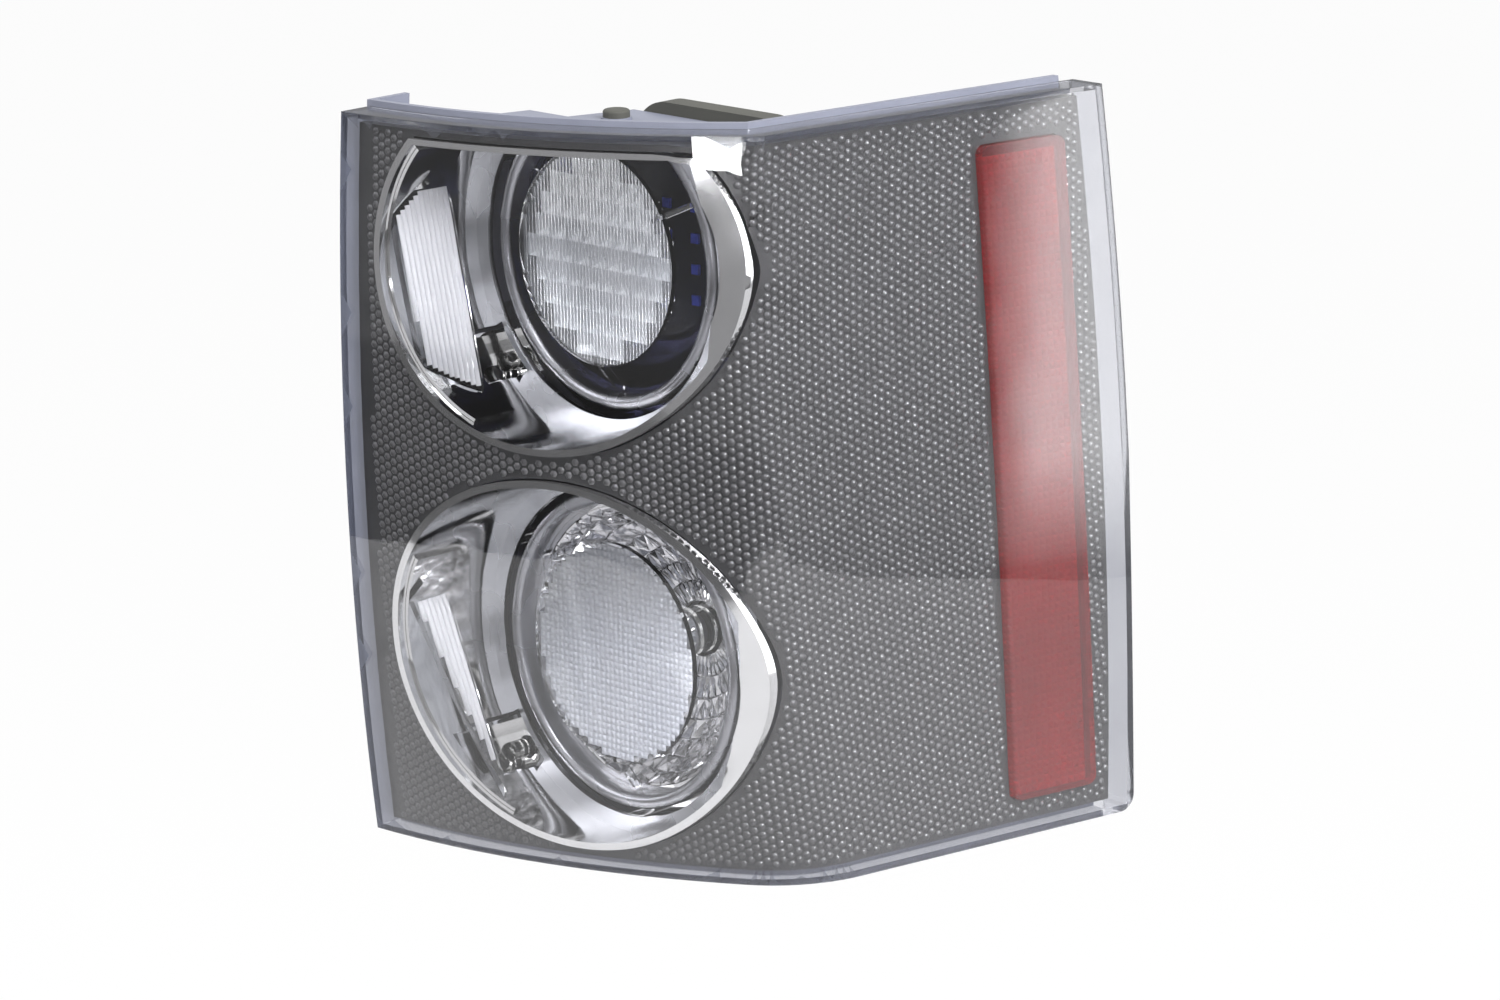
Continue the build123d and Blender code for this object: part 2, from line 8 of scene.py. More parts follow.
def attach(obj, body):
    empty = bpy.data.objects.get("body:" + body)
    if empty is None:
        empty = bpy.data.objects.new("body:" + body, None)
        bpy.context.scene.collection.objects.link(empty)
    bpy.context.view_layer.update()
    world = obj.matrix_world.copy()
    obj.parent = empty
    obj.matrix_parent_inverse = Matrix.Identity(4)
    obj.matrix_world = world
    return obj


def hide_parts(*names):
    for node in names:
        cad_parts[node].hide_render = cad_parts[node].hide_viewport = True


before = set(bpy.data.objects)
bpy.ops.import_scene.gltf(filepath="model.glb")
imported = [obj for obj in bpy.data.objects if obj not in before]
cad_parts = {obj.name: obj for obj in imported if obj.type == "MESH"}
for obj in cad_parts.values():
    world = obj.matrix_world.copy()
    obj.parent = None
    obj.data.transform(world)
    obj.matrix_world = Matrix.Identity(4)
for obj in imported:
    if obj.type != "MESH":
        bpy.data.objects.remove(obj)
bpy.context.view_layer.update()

bl_info = {
    "name": "Tail lamp dresser",
    "version": (1, 0, 0),
    "blender": (4, 5, 0),
    "location": "View3D > Sidebar > Tail lamp",
    "description": "Dresses the tail lamp's solids with their moulded detail and finishes",
    "category": "Object",
}

# The part was drawn in lamp millimetres; this point is the middle of its studs, the frame's origin
LAMP_ORIGIN = Vector((-100.0, 157.0, 11.0))
MM = 0.001

# Lens surface in plan: a triple gives a size at the bottom, middle and top
HALF_HEIGHT = 195.0
INBOARD_X = (-241.0, -226.7, -221.7)
INBOARD_Y = (25.7, 0.0, 0.8)
REAR_START = (0.9, 1.3, 1.8)
REAR_END = (30.5, 36.4, 42.3)
CORNER_RADIUS = (68.5, 39.8, 11.1)
SIDE_HEADING = 81.7
SIDE_X = (7.6, 0.0, -7.7)
FRONT_Y = (316.8, 316.0, 305.3)
LEAST_CORNER = 2.0

# Lamps: axis, hole in the panel, bezel's web plane, how far the rim is drawn in, the inner lens's axis,
# radius and rear face, and the free edge of the crescent lens
UPPER = {
    "x": -107.0,
    "z": 123.4,
    "radius": 95.6,
    "web": 70.5,
    "drawn_in": 2.5,
    "disc": (-104.5, 124.8, 55.7, 65.0),
    "edge": ((-184.0, 39.0, 156.0), (-160.0, 39.0, 46.0)),
}
LOWER = {
    "x": -108.2,
    "z": -84.6,
    "radius": 100.3,
    "web": 79.5,
    "drawn_in": 2.0,
    "disc": (-106.0, -84.0, 58.4, 73.0),
    "edge": ((-190.0, 35.0, -58.0), (-152.0, 41.0, -165.0)),
}

# Rims are drawn in where they face outboard: from a share of facing, over a share more, fully past a wall
DRAWN_FROM = 0.2
DRAWN_OVER = 0.6
DRAWN_WALL = 5.0
# They follow the lens surface, less and less over the last millimetres above a depth
FOLLOWED_DEPTH = 18.0
FOLLOWED_FADE = 6.0
# Radius inside which the panel stays as it is, and distance from the rim inside which a bezel does
PANEL_STILL = 90.0
BEZEL_STILL = 11.6

# Panel: half height, depth below the lens surface and insets, and the gap its bumps leave round the holes
PANEL_HALF_HEIGHT = 189.0
PANEL_DEPTH = 9.1
PANEL_INBOARD = 5.5
PANEL_FRONT = 10.0
LAMP_CLEARANCE = 0.4
WINDOW_CLEARANCE = 1.6
# Columns of bumps, counted from the corner, and the heading from which the lens surface is its side
COLUMNS = (-60, 80)
SIDE_FROM = 1.0

# Width of the lens's skirt, which is seen edge-on
SKIRT = 2.7
# The bezel's web lies between these distances from its plane, and faces the rear
WEB_BAND = (-6.0, 1.0)
WEB_FACING = -0.9

# Lower bowl: radius of its mouth, flange plane, radius of its hole, depth, and its section's middle
BOWL_MOUTH = 73.7
BOWL_FACE = 91.8
BOWL_HOLE = 14.5
BOWL_DEPTH = 48.0
BOWL_BULGE = 0.16 * (BOWL_MOUTH - BOWL_HOLE) + 2.0
BOWL_MIDWAY = 0.62
# Its facets: inset, share of their place that they fill, height, and tilts with the steps that vary each
FACET_INSET = 0.4
FACET_SHARE = 0.97
FACET_HEIGHT = 1.3
FACET_TILTS = ((0.09, 7.3, 4.1, "X"), (0.07, 5.7, 9.2, "Z"))

# Inner lenses: wall, height of flutes and pillows, plain edge, shortest flute, and a gap between faces
DISC_WALL = 3.0
RELIEF = 0.8
DISC_EDGE = 0.8
LEAST_FLUTE = 4.0
FACE_GAP = 0.02
# Cups behind the upper one: distance, depth and the share of a pitch that they keep from the edge
CUP_BEHIND = 9.0
CUP_DEPTH = 8.0
CUP_EDGE = 0.62

# Crescent lenses: direction across them, their flutes' place inside the rim, off the sheet and in depth
CRESCENT_LEAN = (-15.0, -31.0, 0.0)
CRESCENT_RIM = 7.6
CRESCENT_FACE = 1.52
CRESCENT_DEPTH = 11.5
MOST_FLUTES = 40

# Side reflector's corners in Y and Z
REFLECTOR = ((229.0, 171.0), (283.0, 171.0), (295.0, -177.0), (241.0, -177.0))
# Its prisms: depth below the lens surface, height, and margins above and beside
PRISM_DEPTH = 11.2
PRISM_HEIGHT = 1.6
PRISM_MARGIN = 2.0
PRISM_BESIDE = 2.4

# The photograph's view: angles, roll, distance and the point it looks at, in lamp millimetres
VIEW_AZIMUTH = radians(45.28)
VIEW_ELEVATION = radians(14.14)
VIEW_ROLL = 0.01803
VIEW_DISTANCE = 3035.07
VIEW_TARGET = Vector((-35.714, 103.716, 2.694))

FLOOR_Z = -0.806
# Floor's outline in metres; past it the lens and the mirrors show the room
FLOOR_OUTLINE = (
    *((-8.0, 1.0), (-1.65, -1.5), (-0.93, -1.86), (0.11, -2.1), (1.71, -1.67), (2.6, -0.9)),
    *((3.1, 0.3), (3.05, 1.44), (2.71, 1.7), (1.7, 3.0), (0.5, 4.0), (0.5, 8.0), (-8.0, 8.0)),
)
# Soft screen on the right: direction across its inboard edge, and how bright mirrors show it
SCREEN_SIDE = (-sin(radians(30.6)), cos(radians(30.6)), 0.0)
SCREEN_STRENGTH = 3.2

# Stretch and turns of a repeated shape: as it was drawn, and facing into the car
AS_DRAWN = (1.0, 1.0, 1.0)
UNTURNED = (0.0, 0.0, 0.0)
FACING_IN = (0.0, 0.0, pi)

# Inputs of a Map Range node, and those of a Mix node for colours, which share their names with others
RANGE = ("Value", "From Min", "From Max", "To Min", "To Max")
COLOUR_A = 6
COLOUR_B = 7


def linear(code):
    """Linear colour of an sRGB hex value"""
    values = []
    for start in (0, 2, 4):
        share = int(code[start : start + 2], 16) / 255
        values.append(share / 12.92 if share <= 0.04045 else ((share + 0.055) / 1.055) ** 2.4)
    return (*values, 1.0)


def add_node(tree, kind, inputs=None, **settings):
    """Adds a node, with its settings and what goes into it"""
    made = tree.nodes.new(kind)
    for key, value in settings.items():
        setattr(made, key, value)
    for key, value in (inputs or {}).items():
        if isinstance(value, bpy.types.NodeSocket):
            tree.links.new(value, made.inputs[key])
        else:
            made.inputs[key].default_value = value
    return made


def new_material(name):
    """An empty material, its tree, and the place on the piece that its patterns follow"""
    material = bpy.data.materials.new(name)
    material.use_nodes = True
    tree = material.node_tree
    tree.nodes.clear()
    return material, tree, add_node(tree, "ShaderNodeTexCoord").outputs["Object"]


def shown(material, shader):
    """The material with its finished shader at its output"""
    add_node(material.node_tree, "ShaderNodeOutputMaterial", {"Surface": shader.outputs[0]})
    return material


def at_height(z, sizes):
    """A size at height z, from its value at the bottom, middle and top"""
    low, middle, high = sizes
    share = z / HALF_HEIGHT
    return middle + (high - low) / 2 * share + ((high + low) / 2 - middle) * share**2


def on_arc(centre, radius, heading):
    return centre + Vector((sin(heading), -cos(heading))) * radius


def lens_plan(z, depth):
    """Rear arc, corner arc and side line of the lens surface at height z, moved inwards by depth

    b0, b1 and b2 are the headings where the rear arc starts, meets the corner arc and where that ends.
    """
    b0 = radians(at_height(z, REAR_START))
    b1 = radians(at_height(z, REAR_END))
    b2 = radians(SIDE_HEADING)
    x0 = at_height(z, INBOARD_X)
    corner = at_height(z, CORNER_RADIUS)
    rear = (at_height(z, SIDE_X) - x0 - corner * (sin(b2) - sin(b1))) / (sin(b1) - sin(b0))
    rear_centre = Vector((x0 - rear * sin(b0), at_height(z, INBOARD_Y) + rear * cos(b0)))
    side_start = on_arc(on_arc(rear_centre, rear - corner, b1), corner, b2)
    reach = max(corner, depth + LEAST_CORNER)
    along = Vector((cos(b2), sin(b2)))
    gap = side_start + Vector((-sin(b2), cos(b2))) * reach - rear_centre
    run = -gap.dot(along)
    spread = sqrt(run**2 - gap.dot(gap) + (rear - reach) ** 2)
    corner_centre = rear_centre + gap + along * min(run - spread, run + spread, key=abs)
    turned_by = corner_centre - rear_centre
    return {
        "rear_centre": rear_centre,
        "rear": rear - depth,
        "b0": asin((x0 - rear_centre.x) / (rear - depth)),
        "b1": atan2(turned_by.x, -turned_by.y),
        "b2": b2,
        "corner_centre": corner_centre,
        "corner": reach - depth,
        "along": along,
        "x0": x0,
    }


def lens_point(plan, run):
    """Point and heading at a distance from the corner's middle, along the surface"""
    half = plan["corner"] * (plan["b2"] - plan["b1"]) / 2
    if run < -half:
        heading = plan["b1"] + (run + half) / plan["rear"]
        return on_arc(plan["rear_centre"], plan["rear"], heading), heading
    if run < half:
        heading = (plan["b1"] + plan["b2"]) / 2 + run / plan["corner"]
        return on_arc(plan["corner_centre"], plan["corner"], heading), heading
    turn = on_arc(plan["corner_centre"], plan["corner"], plan["b2"])
    return turn + plan["along"] * (run - half), plan["b2"]


def y_on_lens(x, z, depth):
    """Y of the lens surface at a place right of its inboard edge, round the corner too"""
    plan = lens_plan(z, depth)
    for centre, radius, limit in (
        (plan["rear_centre"], plan["rear"], plan["b1"]),
        (plan["corner_centre"], plan["corner"], plan["b2"]),
    ):
        if x < centre.x + radius * sin(limit):
            return centre.y - sqrt(max(radius**2 - (x - centre.x) ** 2, 0.0))
    turn = on_arc(plan["corner_centre"], plan["corner"], plan["b2"])
    return turn.y + (x - turn.x) * plan["along"].y / plan["along"].x


def depth_at(x, y, z):
    """How far a place lies behind the lens surface, found by halving"""
    near, far = -1.0, 40.0
    for _ in range(18):
        middle = (near + far) / 2
        if y_on_lens(x, z, middle) < y:
            near = middle
        else:
            far = middle
    return near


def rim_radius(lamp, facing):
    """Radius of a lamp's rim, drawn in on its outboard side, where the photograph shows it rounder"""
    share = min(max((facing - DRAWN_FROM) / DRAWN_OVER, 0.0), 1.0)
    return lamp["radius"] - lamp["drawn_in"] * share * share * (3 - 2 * share)


def draw_in(mesh, lamp, inner):
    """Draws a rim in to its radius at the same depth below the lens surface, outside an inner radius"""
    for vertex in mesh.vertices:
        place = vertex.co / MM + LAMP_ORIGIN
        aside = place.x - lamp["x"]
        rise = place.z - lamp["z"]
        radius = hypot(aside, rise)
        if not inner < radius < lamp["radius"] + 1.0 or aside < DRAWN_FROM * radius:
            continue
        share = min((radius - inner) / DRAWN_WALL, 1.0)
        change = (lamp["radius"] - rim_radius(lamp, aside / radius)) * share
        x = lamp["x"] + aside * (1 - change / radius)
        z = lamp["z"] + rise * (1 - change / radius)
        depth = depth_at(*place)
        follow = min(max((FOLLOWED_DEPTH - depth) / FOLLOWED_FADE, 0.0), 1.0)
        y = place.y + follow * (y_on_lens(x, z, depth) - place.y)
        vertex.co = in_frame(x, y, z)


def in_frame(x, y, z):
    """A place in lamp millimetres as metres in the part's frame"""
    return (Vector((x, y, z)) - LAMP_ORIGIN) * MM


def finish(obj, material, nodes=()):
    """Gives a finished piece its material, ties it to the body and hides the CAD nodes that it stands for"""
    if not obj.data.materials:
        obj.data.materials.append(material)
    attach(obj, "root")
    if nodes:
        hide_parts(*nodes)
    return obj


def as_object(name, mesh):
    obj = bpy.data.objects.new(name, mesh)
    bpy.context.scene.collection.objects.link(obj)
    return obj


def merged_copy(node, sharp=32.0):
    """A CAD node's mesh with its triangles joined, smooth up to an angle between faces"""
    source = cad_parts[node]
    mesh = source.data.copy()
    mesh.materials.clear()
    work = bmesh.new()
    work.from_mesh(mesh)
    bmesh.ops.remove_doubles(work, verts=work.verts, dist=2e-6)
    for edge in work.edges:
        edge.smooth = len(edge.link_faces) == 2 and edge.calc_face_angle(pi) < radians(sharp)
    for face in work.faces:
        face.smooth = True
    work.to_mesh(mesh)
    work.free()
    if mesh.has_custom_normals:
        mesh.attributes.remove(mesh.attributes["custom_normal"])
    return mesh


def dress(node, material, sharp=32.0):
    """A CAD node with joined faces and its finish"""
    return finish(as_object(f"{node}_dressed", merged_copy(node, sharp)), material, (node,))


def repeat_tree():
    """Geometry Nodes tree that puts one shape on every point, turned and stretched by its attributes"""
    tree = bpy.data.node_groups.new("repeat_on_points", "GeometryNodeTree")
    interface = tree.interface
    kinds = {"Points": "Geometry", "Shape": "Object", "Width": "Float", "Depth": "Float", "Length": "Float"}
    kinds |= {"Finish": "Material", "Smooth": "Bool"}
    for name, kind in kinds.items():
        socket = interface.new_socket(name, in_out="INPUT", socket_type=f"NodeSocket{kind}")
        if kind == "Float":
            socket.subtype = "DISTANCE"
            socket.default_value = MM
    interface.new_socket("Geometry", in_out="OUTPUT", socket_type="NodeSocketGeometry")
    given = add_node(tree, "NodeGroupInput").outputs
    turn, stretch = (
        add_node(tree, "GeometryNodeInputNamedAttribute", {"Name": name}, data_type="FLOAT_VECTOR")
        for name in ("turn", "stretch")
    )
    rotation = add_node(tree, "FunctionNodeEulerToRotation", {"Euler": turn.outputs["Attribute"]})
    sizes = add_node(
        tree, "ShaderNodeCombineXYZ", {"X": given["Width"], "Y": given["Depth"], "Z": given["Length"]}
    )
    scale = add_node(
        tree,
        "ShaderNodeVectorMath",
        {0: sizes.outputs[0], 1: stretch.outputs["Attribute"]},
        operation="MULTIPLY",
    )
    shape = add_node(tree, "GeometryNodeObjectInfo", {"Object": given["Shape"]})
    placed = add_node(
        tree,
        "GeometryNodeInstanceOnPoints",
        {
            "Points": given["Points"],
            "Instance": shape.outputs["Geometry"],
            "Rotation": rotation.outputs["Rotation"],
            "Scale": scale.outputs[0],
        },
    )
    real = add_node(tree, "GeometryNodeRealizeInstances", {"Geometry": placed.outputs["Instances"]})
    shaded = add_node(
        tree,
        "GeometryNodeSetShadeSmooth",
        {"Geometry": real.outputs["Geometry"], "Shade Smooth": given["Smooth"]},
    )
    painted = add_node(
        tree,
        "GeometryNodeSetMaterial",
        {"Geometry": shaded.outputs["Geometry"], "Material": given["Finish"]},
    )
    add_node(tree, "NodeGroupOutput", {"Geometry": painted.outputs["Geometry"]})
    return tree


def repeated(name, places, shape, sizes, material, smooth=True):
    """Puts a shape at every place, a point with its turn and stretch; sizes are in millimetres"""
    mesh = bpy.data.meshes.new(name)
    mesh.from_pydata([in_frame(*point) for point, _, _ in places], [], [])
    for label, index in (("turn", 1), ("stretch", 2)):
        values = mesh.attributes.new(label, "FLOAT_VECTOR", "POINT")
        for item, place in zip(values.data, places):
            item.vector = place[index]
    holder = as_object(f"{name}_points", mesh)
    tree = bpy.data.node_groups.get("repeat_on_points") or repeat_tree()
    modifier = holder.modifiers.new("Repeat", "NODES")
    modifier.node_group = tree
    values = dict(zip(("Width", "Depth", "Length"), (size * MM for size in sizes)))
    values.update({"Shape": shape, "Finish": material, "Smooth": smooth})
    for item in tree.interface.items_tree:
        if item.in_out == "INPUT" and item.name in values:
            modifier[item.identifier] = values[item.name]
    graph = bpy.context.evaluated_depsgraph_get()
    plain = bpy.data.meshes.new_from_object(holder.evaluated_get(graph))
    if not plain.polygons:
        raise RuntimeError(f"{name} came out empty")
    for label in ("turn", "stretch"):
        if label in plain.attributes:
            plain.attributes.remove(plain.attributes[label])
    bpy.data.objects.remove(holder)
    made = as_object(name, plain)
    bpy.data.objects.remove(shape)
    finish(made, material)


def pattern_shape(name, points, faces):
    mesh = bpy.data.meshes.new(name)
    mesh.from_pydata(points, [], faces)
    return as_object(name, mesh)


def dome_shape():
    """Dome of radius 1 and height 1 that stands out along -Y"""
    sides = 6
    points = []
    for radius, height in ((1.0, 0.0), (0.74, -0.66)):
        for k in range(sides):
            angle = 2 * pi * k / sides
            points.append((radius * cos(angle), height, radius * sin(angle)))
    points.append((0.0, -1.0, 0.0))
    faces = []
    for k in range(sides):
        after = (k + 1) % sides
        faces.append((k, after, sides + after, sides + k))
        faces.append((sides + k, sides + after, 2 * sides))
    return pattern_shape("dome", points, faces)


def flute_shape():
    """Half-round rib, 1 wide, 1 high towards -Y and 1 long along Z"""
    steps = 4
    points = []
    for z in (-0.5, 0.5):
        for k in range(steps + 1):
            angle = pi * k / steps
            points.append((-0.5 * cos(angle), -sin(angle), z))
    faces = [(k, k + 1, steps + 2 + k, steps + 1 + k) for k in range(steps)]
    faces.append(tuple(range(steps, -1, -1)))
    faces.append(tuple(range(steps + 1, 2 * steps + 2)))
    return pattern_shape("flute", points, faces)


def square(half, y):
    return [(-half, y, -half), (half, y, -half), (half, y, half), (-half, y, half)]


def pillow_shape(waist=0.34, waist_height=0.72):
    """Square pillow, 1 by 1 and 1 high towards -Y"""
    faces = [(3, 2, 1, 0)]
    for k in range(4):
        after = (k + 1) % 4
        faces.append((k, after, 4 + after, 4 + k))
        faces.append((4 + k, 4 + after, 8))
    points = square(0.5, 0.0) + square(waist, -waist_height) + [(0.0, -1.0, 0.0)]
    return pattern_shape("pillow", points, faces)


def cup_shape():
    """Square cup, 1 by 1 and 1 deep, open towards -Y"""
    faces = [(k, (k + 1) % 4, 4 + (k + 1) % 4, 4 + k) for k in range(4)]
    faces.append((4, 5, 6, 7))
    return pattern_shape("cup", square(0.5, -1.0) + square(0.2, 0.0), faces)


def mottled(tree, place, scale, detail, first, second):
    """Colour that drifts between two in cloudy patches, and the noise that it follows"""
    noise = add_node(tree, "ShaderNodeTexNoise", {"Vector": place, "Scale": scale, "Detail": detail})
    tint = add_node(
        tree,
        "ShaderNodeMix",
        {"Factor": noise.outputs["Fac"], COLOUR_A: first, COLOUR_B: second},
        data_type="RGBA",
    )
    return tint.outputs[2], noise.outputs["Fac"]


def lit_through(tree, shader, colour):
    """Lets light through to what lies behind, which the renderer's glass would hold back"""
    through = add_node(tree, "ShaderNodeBsdfTransparent", {"Color": colour})
    path = add_node(tree, "ShaderNodeLightPath")
    return add_node(
        tree,
        "ShaderNodeMixShader",
        {0: path.outputs["Is Shadow Ray"], 1: shader.outputs[0], 2: through.outputs[0]},
    )


def clear_acrylic():
    """Injection-moulded acrylic, polished: clear, with sharp reflections and no colour of its own"""
    material, tree, place = new_material("clear moulded acrylic")
    # Long, very shallow flow waves of the moulding, about 60 mm apart
    flow = add_node(tree, "ShaderNodeTexNoise", {"Vector": place, "Scale": 16.0, "Detail": 1.0})
    wave = add_node(
        tree, "ShaderNodeBump", {"Height": flow.outputs["Fac"], "Strength": 0.015, "Distance": 0.002}
    )
    body = add_node(
        tree,
        "ShaderNodeBsdfPrincipled",
        {
            "Base Color": linear("fbfbfd"),
            "Roughness": 0.0,
            "IOR": 1.49,
            "Transmission Weight": 1.0,
            "Normal": wave.outputs["Normal"],
        },
    )
    return shown(material, lit_through(tree, body, linear("f4f4f6")))


def tinted_acrylic(name, deep, pale, cloud_scale, roughness, through):
    """Moulded acrylic that a tint colours: the red reflector's dye, and on the clear lens's edges a
    grey-blue that is painted reflection and shade, for what refraction shows there
    """
    material, tree, place = new_material(name)
    tint, _ = mottled(tree, place, cloud_scale, 2.0, deep, pale)
    body = add_node(
        tree,
        "ShaderNodeBsdfPrincipled",
        {"Base Color": tint, "Roughness": roughness, "IOR": 1.49, "Transmission Weight": through},
    )
    return shown(material, body)


def inner_acrylic(name, bend, haze=0.0):
    """Clear moulded acrylic of the inner lenses; fine flutes bend it less sharply and scatter a little"""
    material, tree, place = new_material(name)
    tint, _ = mottled(tree, place, 28.0, 3.0, linear("f4f6f8"), linear("ffffff"))
    clear = add_node(
        tree,
        "ShaderNodeBsdfPrincipled",
        {"Base Color": tint, "Roughness": 0.0, "IOR": bend, "Transmission Weight": 1.0},
    )
    scattered = add_node(tree, "ShaderNodeBsdfDiffuse", {"Color": linear("fbfcff")})
    hazy = add_node(tree, "ShaderNodeMixShader", {0: haze, 1: clear.outputs[0], 2: scattered.outputs[0]})
    return shown(material, lit_through(tree, hazy, linear("f2f3f5")))


def moulded_plastic(name, colour, lighter, roughness, grain_mm):
    """Injection-moulded ABS: satin, with the spark-eroded grain of its tool and slightly uneven gloss"""
    material, tree, place = new_material(name)
    # A tool's real grain is about 0.2 mm; it is drawn three to four times as coarse, so that it shows
    scale = 1.0 / (grain_mm * MM)
    grain = add_node(tree, "ShaderNodeTexNoise", {"Vector": place, "Scale": scale, "Detail": 2.0})
    tint, broad = mottled(tree, place, 20.0, 3.0, colour, lighter)
    gloss = add_node(
        tree,
        "ShaderNodeMapRange",
        dict(zip(RANGE, (broad, 0.3, 0.7, roughness - 0.06, roughness + 0.06))),
    )
    bump = add_node(
        tree, "ShaderNodeBump", {"Height": grain.outputs["Fac"], "Strength": 0.25, "Distance": 0.0003}
    )
    body = add_node(
        tree,
        "ShaderNodeBsdfPrincipled",
        {"Base Color": tint, "Roughness": gloss.outputs[0], "IOR": 1.53, "Normal": bump.outputs["Normal"]},
    )
    return shown(material, body)


def metallic_paint(name, colour, glint):
    """Dark metallic paint on ABS: a soft sheen from fine flakes under a thin clear coat"""
    material, tree, place = new_material(name)
    # Real flakes are about 0.03 mm; they are drawn at 0.5 mm, so that they show at all
    tint, _ = mottled(tree, place, 2000.0, 1.0, colour, glint)
    body = add_node(
        tree,
        "ShaderNodeBsdfPrincipled",
        {"Base Color": tint, "Roughness": 0.36, "Metallic": 0.6, "Coat Weight": 0.2, "Coat Roughness": 0.1},
    )
    return shown(material, body)


def metallised(name, colour, darker, roughness):
    """Vacuum-metallised plastic: a mirror of aluminium that follows the slight waves of the moulding"""
    material, tree, place = new_material(name)
    tint, broad = mottled(tree, place, 25.0, 2.0, darker, colour)
    gloss = add_node(
        tree,
        "ShaderNodeMapRange",
        dict(zip(RANGE, (broad, 0.3, 0.7, roughness * 0.7, roughness * 1.3))),
    )
    bump = add_node(tree, "ShaderNodeBump", {"Height": broad, "Strength": 0.08, "Distance": 0.002})
    body = add_node(
        tree,
        "ShaderNodeBsdfPrincipled",
        {
            "Base Color": tint,
            "Roughness": gloss.outputs[0],
            "Metallic": 1.0,
            "Normal": bump.outputs["Normal"],
        },
    )
    return shown(material, body)


def rubber(colour):
    """Moulded EPDM rubber: dull, with a dusty bloom that lightens it unevenly"""
    return moulded_plastic("moulded seal rubber", colour, linear("4a4a44"), 0.78, 0.8)


def circuit_board():
    """Glass-epoxy board under black solder mask: glossy blue-black over the faint weave of its cloth"""
    material, tree, place = new_material("black solder mask")
    # The cloth's threads are about 0.5 mm apart; they are drawn at 1.1 mm, so that they show
    weave = add_node(
        tree,
        "ShaderNodeTexChecker",
        {"Vector": place, "Scale": 900.0, "Color1": linear("0d0f1c"), "Color2": linear("12152a")},
    )
    body = add_node(
        tree, "ShaderNodeBsdfPrincipled", {"Base Color": weave.outputs["Color"], "Roughness": 0.22}
    )
    return shown(material, body)


def brushed_metal(name, colour, darker, roughness, stretch):
    """Drawn or machined metal: fine lines along one direction that blur its reflections"""
    material, tree, place = new_material(name)
    # Real lines are about 0.1 mm apart; they are drawn at 1.1 mm, so that they show
    drawn = add_node(tree, "ShaderNodeMapping", {"Vector": place, "Scale": (1.0, stretch, 1.0)})
    tint, _ = mottled(tree, drawn.outputs[0], 900.0, 2.0, darker, colour)
    body = add_node(
        tree,
        "ShaderNodeBsdfPrincipled",
        {"Base Color": tint, "Roughness": roughness, "Metallic": 1.0},
    )
    return shown(material, body)


def bulb_glass():
    """Blown soda-lime glass of a bulb: clear, with the slight ripples of blowing"""
    material, tree, place = new_material("blown bulb glass")
    # Ripples about 8 mm apart
    ripple = add_node(tree, "ShaderNodeTexNoise", {"Vector": place, "Scale": 120.0})
    bump = add_node(
        tree, "ShaderNodeBump", {"Height": ripple.outputs["Fac"], "Strength": 0.1, "Distance": 0.001}
    )
    body = add_node(
        tree,
        "ShaderNodeBsdfPrincipled",
        {
            "Base Color": linear("fafaf8"),
            "Roughness": 0.02,
            "IOR": 1.52,
            "Transmission Weight": 1.0,
            "Normal": bump.outputs["Normal"],
        },
    )
    return shown(material, body)


def diode_resin():
    """Moulded epoxy of the diodes, coloured deep blue: a painted blue reflection, for the blue gleam round
    them
    """
    material, tree, place = new_material("diode epoxy with painted blue reflection")
    tint, _ = mottled(tree, place, 300.0, 2.0, linear("1c2a78"), linear("4a58c8"))
    body = add_node(tree, "ShaderNodeBsdfPrincipled", {"Base Color": tint, "Roughness": 0.15})
    return shown(material, body)


def length_property(name, description, millimetres):
    return bpy.props.FloatProperty(
        name=name,
        description=description,
        default=millimetres * MM,
        min=0.1 * MM,
        unit="LENGTH",
        precision=4,
    )


def colour_property(name, description, code):
    return bpy.props.FloatVectorProperty(
        name=name,
        description=description,
        default=linear(code),
        size=4,
        min=0.0,
        max=1.0,
        subtype="COLOR",
    )


class PanelPattern(bpy.types.PropertyGroup):
    """Sizes of the dark panel's raised pattern"""

    column_pitch: length_property("Column pitch", "Distance between two columns of bumps", 4.1)
    row_pitch: length_property("Row pitch", "Distance between two bumps in a column", 4.7)
    bump_radius: length_property("Bump radius", "Radius of a bump at its foot", 2.05)
    bump_height: length_property("Bump height", "How far a bump stands out of the panel", 1.2)
    plain_strip: length_property("Plain strip", "Width of the panel's plain edge on the inboard side", 8.0)


class LensPattern(bpy.types.PropertyGroup):
    """Sizes of the inner lenses' and reflectors' patterns"""

    flute_pitch: length_property("Flute pitch", "Width of a flute on the upper inner lens", 2.4)
    pillow_pitch: length_property("Pillow pitch", "Side of a pillow on the lower inner lens", 3.4)
    cup_pitch: length_property(
        "Cup pitch", "Distance between two bright cups behind the upper inner lens", 11.5
    )
    crescent_pitch: length_property("Crescent flute pitch", "Width of a flute on the crescent lenses", 2.6)
    bowl_rings: bpy.props.IntProperty(
        name="Bowl rings",
        description="Rings of facets in the lower reflector",
        default=7,
        min=2,
    )
    bowl_sectors: bpy.props.IntProperty(
        name="Bowl sectors",
        description="Facets round each ring of the lower reflector",
        default=44,
        min=8,
    )
    prism_pitch: length_property("Prism pitch", "Side of a prism behind the red reflector", 4.0)


class Finishes(bpy.types.PropertyGroup):
    """Main colours, as linear values of the sRGB hex codes given here"""

    housing: colour_property("Housing", "Colour of the moulded housing", "6b6e7c")
    panel: colour_property("Panel", "Colour of the dark panel's bumps", "424243")
    chrome: colour_property("Chrome", "Colour of the bright metallised plastic", "ececec")
    satin: colour_property("Satin chrome", "Colour of the satin rings", "b4b5ba")
    smoked: colour_property("Smoked chrome", "Colour of the upper bowl", "2b2c46")
    red: colour_property("Red", "Colour of the side reflector", "b23036")
    rubber: colour_property("Rubber", "Colour of the seals", "33332f")


